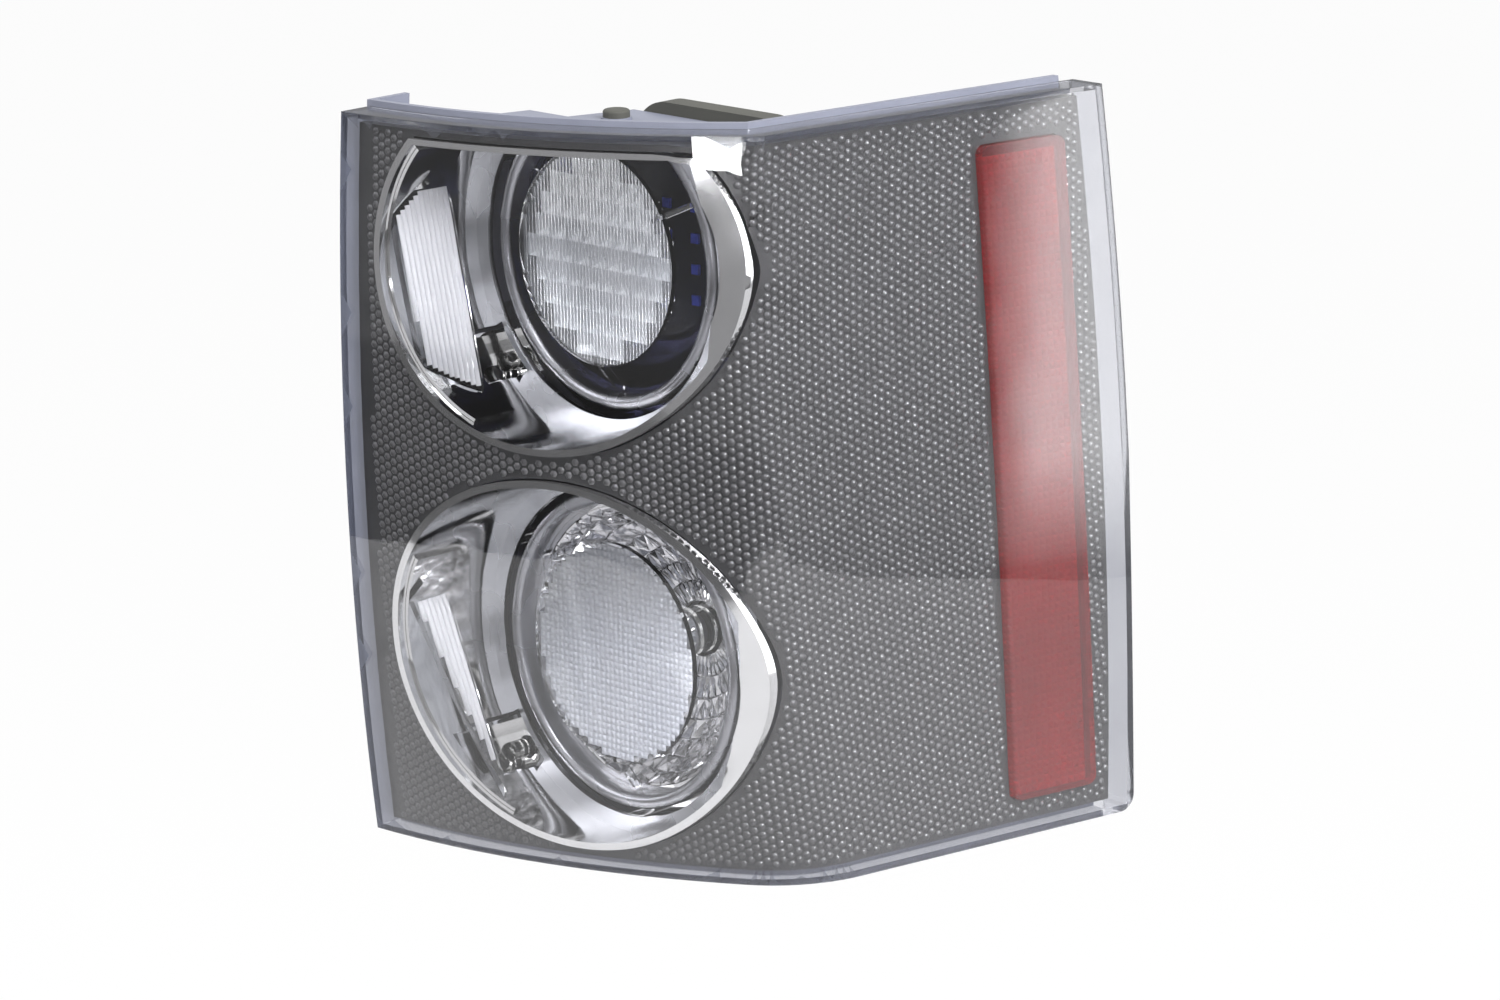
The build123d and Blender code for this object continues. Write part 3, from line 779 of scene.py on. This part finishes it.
class LAMP_OT_panel(bpy.types.Operator):
    """Makes the dark inner panel and its raised pattern"""

    bl_idname = "lamp.panel"
    bl_label = "Inner panel"

    def execute(self, context):
        sizes = context.scene.panel_pattern
        colours = context.scene.lamp_finishes
        # The bumps get the lighter paint, and the panel's ground between and around them a darker copy of
        # it: painted shade in the gaps between the bumps
        paint = metallic_paint("bright metallic paint", colours.panel, linear("5c5c5d"))
        ground = metallic_paint("metallic paint darkened as painted shade", linear("343435"), linear("444445"))
        panel = dress("inner_panel", ground)
        for lamp in (UPPER, LOWER):
            draw_in(panel.data, lamp, PANEL_STILL)
        column = sizes.column_pitch / MM
        half_row = sizes.row_pitch / MM / 2
        radius = sizes.bump_radius / MM
        strip = sizes.plain_strip / MM
        rows = int((PANEL_HALF_HEIGHT - radius - LAMP_CLEARANCE) / half_row)
        places = []
        for row in range(-rows, rows + 1):
            z = row * half_row
            plan = lens_plan(z, PANEL_DEPTH)
            inboard = plan["x0"] + PANEL_INBOARD + strip
            front = at_height(z, FRONT_Y) - PANEL_FRONT - radius
            for k in range(*COLUMNS):
                run = (k + row % 2 / 2) * 2 * column
                point, heading = lens_point(plan, run)
                if point.x < inboard or point.y > front:
                    continue
                if heading < plan["b0"] or not clear_of_lamps(point.x, z, heading, radius):
                    continue
                if heading > SIDE_FROM and in_reflector(point.y, z, radius + WINDOW_CLEARANCE):
                    continue
                places.append(((point.x, point.y, z), (0.0, 0.0, heading), AS_DRAWN))
        size = (radius, sizes.bump_height / MM, radius)
        repeated("panel_bumps", places, dome_shape(), size, paint)
        return {"FINISHED"}


def clear_of_lamps(x, z, heading, radius):
    """Whether a bump's foot, seen along the lamps' axes, lies outside both holes"""
    for lamp in (UPPER, LOWER):
        aside = x - lamp["x"]
        rise = z - lamp["z"]
        away = hypot(aside, rise)
        foot = radius * hypot(cos(heading) * aside, rise) / away
        if away - foot < rim_radius(lamp, aside / away) + LAMP_CLEARANCE:
            return False
    return True


def in_reflector(y, z, margin):
    """Whether a place on the side lies in the red reflector's window"""
    (left_top, top), (right_top, _), (right_low, low), (left_low, _) = REFLECTOR
    share = (z - low) / (top - low)
    left = left_low + (left_top - left_low) * share
    right = right_low + (right_top - right_low) * share
    return low - margin < z < top + margin and left - margin < y < right + margin


class LAMP_OT_shell(bpy.types.Operator):
    """Makes the outer lens, the housing and its seals"""

    bl_idname = "lamp.shell"
    bl_label = "Lens and housing"

    def execute(self, context):
        colours = context.scene.lamp_finishes
        lens = dress("outer_lens", clear_acrylic(), 40.0)
        # The lens's edges are tinted grey-blue, and darker over the housing's inboard edge: painted
        # reflection and painted shade of what refraction shows at the edges
        for title, deep, pale, through in (
            ("lens edge acrylic with painted reflection", "8f929d", "b0b2ba", 0.9),
            ("lens edge acrylic with painted shade", "5c6070", "7b7f8d", 0.45),
        ):
            skirt = tinted_acrylic(title, linear(deep), linear(pale), 30.0, 0.08, through)
            lens.data.materials.append(skirt)
        for face in lens.data.polygons:
            place = face.center / MM + LAMP_ORIGIN
            beside = place.x < at_height(place.z, INBOARD_X) + SKIRT
            ahead = place.y > at_height(place.z, FRONT_Y) - SKIRT
            if beside:
                face.material_index = 2
            elif ahead or abs(place.z) > HALF_HEIGHT - SKIRT:
                face.material_index = 1
        plastic = moulded_plastic("grey moulded ABS", colours.housing, linear("7b7e8c"), 0.46, 0.7)
        dress("housing", plastic)
        seal = rubber(colours.rubber)
        dress("body_seal", seal)
        dress("top_buffer", seal)
        for name in ("main", "upper_small", "lower_small"):
            dress(f"{name}_holder_seal", seal)
        return {"FINISHED"}


class LAMP_OT_side_reflector(bpy.types.Operator):
    """Makes the red side reflector, its prisms and its tray"""

    bl_idname = "lamp.side_reflector"
    bl_label = "Side reflector"

    def execute(self, context):
        colours = context.scene.lamp_finishes
        pitch = context.scene.lens_pattern.prism_pitch / MM
        red = tinted_acrylic("red reflector acrylic", linear("8c1620"), colours.red, 22.0, 0.04, 0.9)
        dress("side_reflector", red)
        deep, pale = linear("a01420"), linear("c81f2c")
        mirror = tinted_acrylic("red reflector prisms", deep, pale, 22.0, 0.04, 0.0)
        places = []
        (top_left, top), (top_right, _), (low_right, low), (low_left, _) = REFLECTOR
        rows = int((top - low - 2 * PRISM_MARGIN) / pitch)
        columns = int((top_right - top_left - 2 * PRISM_MARGIN) / pitch)
        for i in range(rows):
            z = low + PRISM_MARGIN + (i + 0.5) * pitch
            share = (z - low) / (top - low)
            left = low_left + (top_left - low_left) * share
            plan = lens_plan(z, PRISM_DEPTH)
            start = on_arc(plan["corner_centre"], plan["corner"], plan["b2"])
            for k in range(columns):
                y = left + PRISM_BESIDE + (k + 0.5) * pitch
                x = start.x + (y - start.y) * plan["along"].x / plan["along"].y
                places.append(((x, y, z), (0.0, 0.0, plan["b2"]), AS_DRAWN))
        size = (pitch, PRISM_HEIGHT, pitch)
        repeated("reflector_prisms", places, pillow_shape(0.22, 0.6), size, mirror, False)
        tray = moulded_plastic("black moulded ABS", linear("1a1a1a"), linear("242424"), 0.4, 0.6)
        dress("reflector_tray", tray)
        return {"FINISHED"}


class LAMP_OT_bezels(bpy.types.Operator):
    """Makes the chromed bezels and bead rings"""

    bl_idname = "lamp.bezels"
    bl_label = "Bezels and bead rings"

    def execute(self, context):
        colours = context.scene.lamp_finishes
        chrome = metallised("bright metallised plastic", colours.chrome, linear("d9d9d8"), 0.07)
        satin = metallised("satin metallised plastic", colours.satin, linear("86868a"), 0.26)
        web_finish = metallised("satin web of the bezels", linear("cccdd2"), linear("b9bbc1"), 0.26)
        for name, lamp in (("upper", UPPER), ("lower", LOWER)):
            bezel = dress(f"{name}_bezel", chrome)
            draw_in(bezel.data, lamp, lamp["radius"] - BEZEL_STILL)
            bezel.data.materials.append(web_finish)
            for face in bezel.data.polygons:
                off = face.center.y / MM + LAMP_ORIGIN.y - lamp["web"]
                if face.normal.y < WEB_FACING and WEB_BAND[0] < off < WEB_BAND[1]:
                    face.material_index = 1
            dress(f"{name}_bead_ring", satin)
            dress(f"{name}_crescent_reflector", chrome)
        return {"FINISHED"}


def bowl_arc():
    """Centre, radius and end angles of the arc that the lower bowl's section follows, in radius and Y"""
    first = Vector((BOWL_MOUTH, BOWL_FACE))
    middle = Vector(((BOWL_MOUTH + BOWL_HOLE) / 2 + BOWL_BULGE, BOWL_FACE + BOWL_MIDWAY * BOWL_DEPTH))
    last = Vector((BOWL_HOLE, BOWL_FACE + BOWL_DEPTH))
    a = middle - first
    b = last - first
    cross = 2 * (a.x * b.y - a.y * b.x)
    centre = first + Vector(
        (
            (b.y * a.dot(a) - a.y * b.dot(b)) / cross,
            (a.x * b.dot(b) - b.x * a.dot(a)) / cross,
        )
    )
    angles = [atan2(point.y - centre.y, point.x - centre.x) for point in (first, last)]
    return centre, (first - centre).length, angles


class LAMP_OT_reflectors(bpy.types.Operator):
    """Makes the two bowls and the facets of the lower one"""

    bl_idname = "lamp.reflectors"
    bl_label = "Reflector bowls"

    def execute(self, context):
        colours = context.scene.lamp_finishes
        sizes = context.scene.lens_pattern
        chrome = metallised("bowl metallised plastic", linear("f0f0f2"), linear("dededf"), 0.05)
        smoked = metallised("smoked metallised plastic", colours.smoked, linear("17182c"), 0.14)
        dress("upper_reflector", smoked)
        dress("lower_reflector", chrome)
        centre, radius, (first, last) = bowl_arc()
        places = []
        rings = sizes.bowl_rings
        sectors = sizes.bowl_sectors
        for i in range(rings):
            angle = first + (last - first) * (i + 0.5) / rings
            out = centre.x + (radius - FACET_INSET) * cos(angle)
            y = centre.y + (radius - FACET_INSET) * sin(angle)
            length = radius * abs(last - first) / rings
            for k in range(sectors):
                around = 2 * pi * (k + i % 2 / 2) / sectors
                radial = Vector((cos(around), 0.0, sin(around)))
                outward = (radial * cos(angle) + Vector((0.0, sin(angle), 0.0))).normalized()
                meridian = (radial * -sin(angle) + Vector((0.0, cos(angle), 0.0))).normalized()
                across = outward.cross(meridian)
                # Every facet is tilted a little, as the blocks in the photograph are
                tilt = Matrix.Identity(3)
                for most, by_sector, by_ring, axis in FACET_TILTS:
                    tilt @= Matrix.Rotation(most * sin(by_sector * k + by_ring * i), 3, axis)
                turn = (Matrix((across, outward, meridian)).transposed() @ tilt).to_euler()
                width = 2 * pi * out / sectors
                spot = (LOWER["x"] + out * radial.x, y, LOWER["z"] + out * radial.z)
                places.append((spot, turn, (width, 1.0, length)))
        shape = pillow_shape(0.45, 0.8)
        size = (FACET_SHARE, FACET_HEIGHT, FACET_SHARE)
        repeated("lower_bowl_facets", places, shape, size, chrome, False)
        return {"FINISHED"}


class LAMP_OT_inner_lenses(bpy.types.Operator):
    """Makes the round inner lenses with their flutes and pillows"""

    bl_idname = "lamp.inner_lenses"
    bl_label = "Inner lenses"

    def execute(self, context):
        sizes = context.scene.lens_pattern
        acrylic = inner_acrylic("inner lens acrylic", 1.49)
        flutes = inner_acrylic("inner lens flutes", 1.22, 0.12)
        pillows = inner_acrylic("inner lens pillows", 1.3, 0.5)
        dress("upper_inner_lens", acrylic)
        dress("lower_inner_lens", acrylic)
        x, z, radius, face = UPPER["disc"]
        pitch = sizes.flute_pitch / MM
        count = int(radius / pitch)
        places = []
        for k in range(-count, count + 1):
            chord = 2 * sqrt(max((radius - DISC_EDGE) ** 2 - (k * pitch) ** 2, 0.0))
            if chord > LEAST_FLUTE:
                spot = (x + k * pitch, face + DISC_WALL + FACE_GAP, z)
                places.append((spot, FACING_IN, (1.0, 1.0, chord)))
        size = (pitch, RELIEF, 1.0)
        repeated("upper_lens_flutes", places, flute_shape(), size, flutes)
        self.make_collimators(sizes.cup_pitch / MM)
        pitch = sizes.pillow_pitch / MM
        places = grid_on_disc(LOWER, pitch, pitch / 2 + DISC_EDGE, FACE_GAP, FACING_IN)
        size = (pitch, RELIEF, pitch)
        repeated("lower_lens_pillows", places, pillow_shape(), size, pillows)
        return {"FINISHED"}

    def make_collimators(self, pitch):
        """The bright cups close behind the upper disc, in staggered rows"""
        bright = metallised("cup metallised plastic", linear("fcfcfc"), linear("f2f2f3"), 0.2)
        places = grid_on_disc(UPPER, pitch, CUP_EDGE * pitch, CUP_BEHIND, UNTURNED, 0.5)
        size = (pitch, CUP_DEPTH, pitch)
        repeated("upper_collimators", places, cup_shape(), size, bright, False)


def grid_on_disc(lamp, pitch, edge, behind, turn, stagger=0.0):
    """Places in rows behind an inner lens; every other row is moved by the stagger, a share of the pitch"""
    x, z, radius, face = lamp["disc"]
    count = int(radius / pitch)
    places = []
    for i in range(-count, count + 1):
        for k in range(-count, count + 2):
            across = (k - i % 2 * stagger) * pitch
            if hypot(across, i * pitch) < radius - edge:
                places.append(((x + across, face + DISC_WALL + behind, z + i * pitch), turn, AS_DRAWN))
    return places


class LAMP_OT_crescents(bpy.types.Operator):
    """Makes the two crescent lenses with the flutes along their free edge"""

    bl_idname = "lamp.crescents"
    bl_label = "Crescent lenses"

    def execute(self, context):
        sizes = context.scene.lens_pattern
        acrylic = bpy.data.materials["inner lens acrylic"]
        flutes = inner_acrylic("crescent lens flutes", 1.42, 0.35)
        pitch = sizes.crescent_pitch / MM
        for name, lamp in (("upper", UPPER), ("lower", LOWER)):
            dress(f"{name}_crescent_lens", acrylic)
            first, last = (Vector(point) for point in lamp["edge"])
            lean = Vector(CRESCENT_LEAN).normalized()
            along = (last - first).normalized()
            normal = along.cross(lean).normalized()
            lean = normal.cross(along)
            turn = Matrix((lean, normal, along)).transposed().to_euler()
            middle = (first + last) / 2
            half = (last - first).length / 2
            inner = lamp["radius"] - CRESCENT_RIM
            places = []
            for step in range(1, MOST_FLUTES):
                base = middle + lean * step * pitch - normal * CRESCENT_FACE
                inside = []
                for u in range(-int(half), int(half) + 1):
                    point = base + along * u
                    near_rim = hypot(point.x - lamp["x"], point.z - lamp["z"]) > inner
                    if not near_rim and point.y > y_on_lens(point.x, point.z, CRESCENT_DEPTH):
                        inside.append(u)
                if len(inside) > LEAST_FLUTE:
                    centre = base + along * (inside[0] + inside[-1]) / 2
                    places.append((centre, turn, (1.0, 1.0, inside[-1] - inside[0])))
            title = f"{name}_crescent_flutes"
            size = (pitch, RELIEF, 1.0)
            repeated(title, places, flute_shape(), size, flutes)
        return {"FINISHED"}


class LAMP_OT_small_parts(bpy.types.Operator):
    """Makes the bulbs, holders, board, heat sink, screws, studs and connector"""

    bl_idname = "lamp.small_parts"
    bl_label = "Bulbs and fittings"

    def execute(self, context):
        black = bpy.data.materials["black moulded ABS"]
        zinc, aluminium, brass = (
            brushed_metal(name, linear(colour), linear(darker), roughness, stretch)
            for name, colour, darker, roughness, stretch in (
                ("zinc-plated steel", "b9bab8", "8f908e", 0.34, 0.05),
                ("extruded aluminium", "c4c6c9", "a4a6aa", 0.38, 0.04),
                ("tinned brass", "cdb06a", "a98d4a", 0.25, 0.1),
            )
        )
        glass = bulb_glass()
        for name in ("main", "upper_small", "lower_small"):
            dress(f"{name}_bulb_glass", glass)
            dress(f"{name}_bulb_cap", zinc)
            dress(f"{name}_bulb_holder", black)
        dress("led_board", circuit_board())
        dress("leds", diode_resin())
        dress("heat_sink", aluminium)
        dress("reflector_screws", zinc)
        dress("mounting_studs", zinc)
        dress("connector_pins", brass)
        dress("connector_socket", black)
        dress("vent_caps", black)
        return {"FINISHED"}


def area_light(name, place, aim, size, energy):
    """Soft rectangular light at a place in lamp millimetres that points at another"""
    data = bpy.data.lights.new(name, "AREA")
    data.shape = "RECTANGLE"
    data.size, data.size_y = size
    data.energy = energy
    light = bpy.data.objects.new(name, data)
    bpy.context.scene.collection.objects.link(light)
    light.location = in_frame(*place)
    direction = in_frame(*aim) - light.location
    light.rotation_euler = direction.to_track_quat("-Z", "Y").to_euler()


class LAMP_OT_stage(bpy.types.Operator):
    """Makes the floor, the white surroundings, the lights and the camera"""

    bl_idname = "lamp.stage"
    bl_label = "Stage"

    def execute(self, context):
        scene = context.scene
        scene.view_settings.view_transform = "Standard"
        make_floor()
        make_surroundings(scene)
        area_light("left softbox", (-1900, -1500, 1300), (-100, 60, 0), (1.6, 1.6), 25.0)
        area_light("top softbox", (500, -700, 2000), (-60, 80, 0), (1.4, 1.4), 36.0)
        area_light("right softbox", (2200, 100, 1400), (0, 150, 0), (1.3, 1.3), 100.0)
        area_light("strip light", (1360, -2003, 156), (-40, 67, 170), (0.52, 0.07), 3.2)
        make_camera(scene)
        return {"FINISHED"}


def make_floor():
    """Pale floor below the part, white to the eye and with the part's shadow"""
    mesh = bpy.data.meshes.new("floor")
    mesh.from_pydata([(x, y, FLOOR_Z) for x, y in FLOOR_OUTLINE], [], [range(len(FLOOR_OUTLINE))])
    floor = as_object("floor", mesh)
    material, tree, _ = new_material("pale floor paint")
    lit = add_node(tree, "ShaderNodeBsdfDiffuse", {"Color": linear("f0f0f0")})
    white = add_node(tree, "ShaderNodeEmission", {"Color": linear("ffffff"), "Strength": 1.0})
    seen = white_to_the_eye(tree, 0.93)
    mixed = add_node(tree, "ShaderNodeMixShader", {0: seen, 1: lit.outputs[0], 2: white.outputs[0]})
    floor.data.materials.append(shown(material, mixed))


def white_to_the_eye(tree, share):
    """Light path factor that is the share for rays that the eye, metal or glass follows"""
    path = add_node(tree, "ShaderNodeLightPath")
    seen = add_node(
        tree,
        "ShaderNodeMath",
        {0: path.outputs["Is Camera Ray"], 1: path.outputs["Is Transmission Ray"]},
        operation="MAXIMUM",
    )
    mirrored = add_node(
        tree,
        "ShaderNodeMath",
        {0: seen.outputs[0], 1: path.outputs["Is Glossy Ray"]},
        operation="MAXIMUM",
    )
    scaled = add_node(tree, "ShaderNodeMath", {0: mirrored.outputs[0], 1: share}, operation="MULTIPLY")
    return scaled.outputs[0]


def make_surroundings(scene):
    """White background for the eye; what mirrors show is dark round the part, and bright above and aside"""
    world = bpy.data.worlds.new("studio")
    scene.world = world
    world.use_nodes = True
    tree = world.node_tree
    tree.nodes.clear()
    direction = add_node(tree, "ShaderNodeTexCoord").outputs["Generated"]
    split = add_node(tree, "ShaderNodeSeparateXYZ", {0: direction})
    low, high, upward, outboard = (
        add_node(tree, "ShaderNodeMapRange", dict(zip(RANGE, (split.outputs[axis], *limits)))).outputs[0]
        for axis, *limits in (
            # Dim from the floor's edge down, and bright high up
            ("Z", -0.235, -0.228, 0.14, 0.34),
            ("Z", 0.2, 0.26, 0.0, 0.7),
            # The screen's foot and its inboard limit
            ("Z", -0.23, -0.2, 0.15, 1.0),
            ("X", 0.5, 0.7, 0.0, 1.0),
        )
    )
    bands = add_node(tree, "ShaderNodeMath", {0: low, 1: high}, operation="ADD")
    # A soft-edged bright screen on the right, which the side of the lens mirrors
    toward = add_node(
        tree, "ShaderNodeVectorMath", {0: direction, 1: SCREEN_SIDE}, operation="DOT_PRODUCT"
    )
    across = add_node(
        tree,
        "ShaderNodeMapRange",
        dict(zip(RANGE, (toward.outputs["Value"], -0.011, 0.001, 0.05, SCREEN_STRENGTH))),
        interpolation_type="SMOOTHSTEP",
    )
    beside = add_node(tree, "ShaderNodeMath", {0: across.outputs[0], 1: upward}, operation="MULTIPLY")
    screen = add_node(tree, "ShaderNodeMath", {0: beside.outputs[0], 1: outboard}, operation="MULTIPLY")
    mirrored = add_node(tree, "ShaderNodeMath", {0: bands.outputs[0], 1: screen.outputs[0]}, operation="ADD")
    path = add_node(tree, "ShaderNodeLightPath")
    reflected = add_node(
        tree, "ShaderNodeMath", {0: path.outputs["Glossy Depth"], 1: 0.5}, operation="GREATER_THAN"
    )
    studio = add_node(
        tree,
        "ShaderNodeMix",
        {"Factor": reflected.outputs[0], "A": 0.62, "B": mirrored.outputs[0]},
        data_type="FLOAT",
    )
    passed = add_node(
        tree,
        "ShaderNodeMath",
        {0: path.outputs["Is Transmission Ray"], 1: reflected.outputs[0]},
        operation="SUBTRACT",
        use_clamp=True,
    )
    direct = add_node(
        tree,
        "ShaderNodeMath",
        {0: path.outputs["Is Camera Ray"], 1: passed.outputs[0]},
        operation="MAXIMUM",
    )
    strength = add_node(
        tree,
        "ShaderNodeMix",
        {"Factor": direct.outputs[0], "A": studio.outputs[0], "B": 1.0},
        data_type="FLOAT",
    )
    sky = add_node(
        tree, "ShaderNodeBackground", {"Color": linear("ffffff"), "Strength": strength.outputs[0]}
    )
    add_node(tree, "ShaderNodeOutputWorld", {"Surface": sky.outputs[0]})


def make_camera(scene):
    """Camera at the photograph's angle"""
    right = Vector((cos(VIEW_AZIMUTH), sin(VIEW_AZIMUTH), 0.0))
    flat = cos(VIEW_ELEVATION)
    forward = Vector((-sin(VIEW_AZIMUTH) * flat, cos(VIEW_AZIMUTH) * flat, -sin(VIEW_ELEVATION)))
    up = right.cross(forward)
    across = right * cos(VIEW_ROLL) - up * sin(VIEW_ROLL)
    upright = right * sin(VIEW_ROLL) + up * cos(VIEW_ROLL)
    data = bpy.data.cameras.new("photograph")
    data.lens = 144.0
    data.sensor_width = 36.0
    data.clip_end = 50.0
    camera = bpy.data.objects.new("photograph", data)
    scene.collection.objects.link(camera)
    place = in_frame(*(VIEW_TARGET - forward * VIEW_DISTANCE))
    turn = Matrix((across, upright, -forward)).transposed().to_4x4()
    camera.matrix_world = Matrix.Translation(place) @ turn
    scene.camera = camera


class LAMP_PT_dresser(bpy.types.Panel):
    """Lists the lamp's pieces and their sizes in the 3D view's sidebar"""

    bl_idname = "LAMP_PT_dresser"
    bl_label = "Tail lamp"
    bl_space_type = "VIEW_3D"
    bl_region_type = "UI"
    bl_category = "Tail lamp"

    def draw(self, context):
        for label, group in (
            ("Panel pattern", context.scene.panel_pattern),
            ("Lens pattern", context.scene.lens_pattern),
            ("Finishes", context.scene.lamp_finishes),
        ):
            box = self.layout.box()
            box.label(text=label)
            for name in group.__annotations__:
                box.prop(group, name)
        for operator in OPERATORS:
            self.layout.operator(operator.bl_idname)


GROUPS = {"panel_pattern": PanelPattern, "lens_pattern": LensPattern, "lamp_finishes": Finishes}
OPERATORS = (
    LAMP_OT_panel,
    LAMP_OT_shell,
    LAMP_OT_side_reflector,
    LAMP_OT_bezels,
    LAMP_OT_reflectors,
    LAMP_OT_inner_lenses,
    LAMP_OT_crescents,
    LAMP_OT_small_parts,
    LAMP_OT_stage,
)


def register():
    for group in GROUPS.values():
        bpy.utils.register_class(group)
    for name, group in GROUPS.items():
        setattr(bpy.types.Scene, name, bpy.props.PointerProperty(type=group))
    for operator in (*OPERATORS, LAMP_PT_dresser):
        bpy.utils.register_class(operator)


def unregister():
    for operator in reversed((*OPERATORS, LAMP_PT_dresser)):
        bpy.utils.unregister_class(operator)
    for name in GROUPS:
        delattr(bpy.types.Scene, name)
    for group in reversed(GROUPS.values()):
        bpy.utils.unregister_class(group)


def main():
    register()
    bpy.ops.lamp.panel()
    bpy.ops.lamp.shell()
    bpy.ops.lamp.side_reflector()
    bpy.ops.lamp.bezels()
    bpy.ops.lamp.reflectors()
    bpy.ops.lamp.inner_lenses()
    bpy.ops.lamp.crescents()
    bpy.ops.lamp.small_parts()
    bpy.ops.lamp.stage()


if __name__ == "__main__":
    main()
